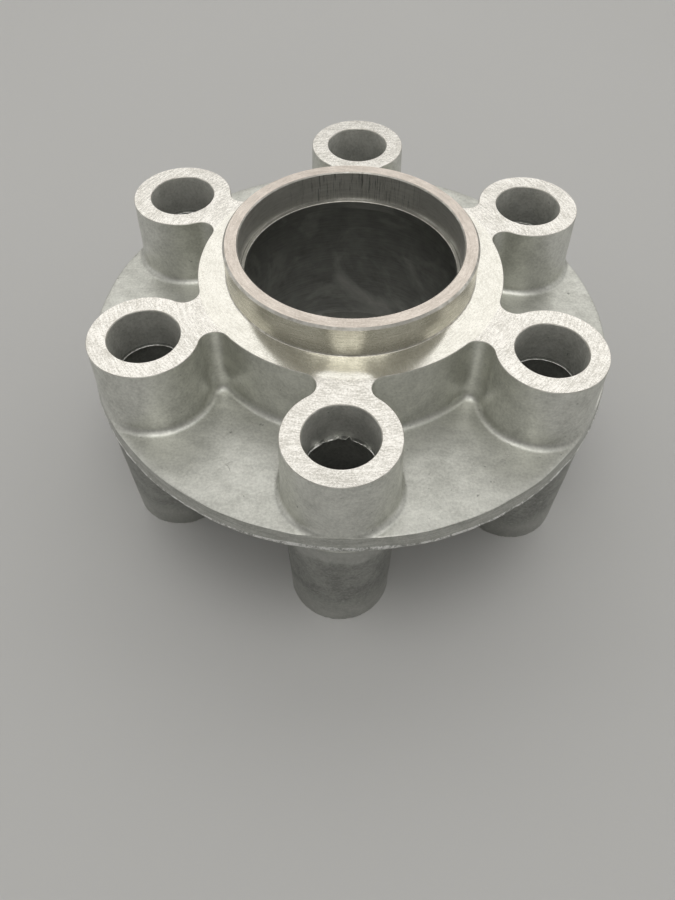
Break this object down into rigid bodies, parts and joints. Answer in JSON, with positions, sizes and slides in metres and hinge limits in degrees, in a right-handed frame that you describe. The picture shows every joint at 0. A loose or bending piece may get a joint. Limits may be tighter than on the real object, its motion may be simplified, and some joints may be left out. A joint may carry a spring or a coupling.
{
  "type": "flanged hub",
  "caption": "Die-cast aluminium hub: round flange with a turned pilot ring, a stepped centre bore and tubular bolt bosses that stand through it as legs.",
  "frame": {"origin": "on the hub axis, in the plane of the six feet", "axes": "+Z along the hub axis towards the pilot ring; boss 1 lies on -Y and the others follow every 60 degrees"},
  "size_m": [0.1171, 0.1172, 0.06],
  "materials": {
    "cast_aluminium": "as-cast satin",
    "machined_aluminium": "turned and faced"
  },
  "bodies": {
    "root": {"pilot_ring": "machined_aluminium", "bearing_barrel": "cast_aluminium", "flange_field_1": "cast_aluminium", "flange_field_2": "cast_aluminium", "flange_field_3": "cast_aluminium", "flange_field_4": "cast_aluminium", "flange_field_5": "cast_aluminium", "flange_field_6": "cast_aluminium", "bolt_boss_1": "cast_aluminium", "bolt_boss_2": "cast_aluminium", "bolt_boss_3": "cast_aluminium", "bolt_boss_4": "cast_aluminium", "bolt_boss_5": "cast_aluminium", "bolt_boss_6": "cast_aluminium", "leg_1": "cast_aluminium", "leg_2": "cast_aluminium", "leg_3": "cast_aluminium", "leg_4": "cast_aluminium", "leg_5": "cast_aluminium", "leg_6": "cast_aluminium"}
  },
  "joints": []
}
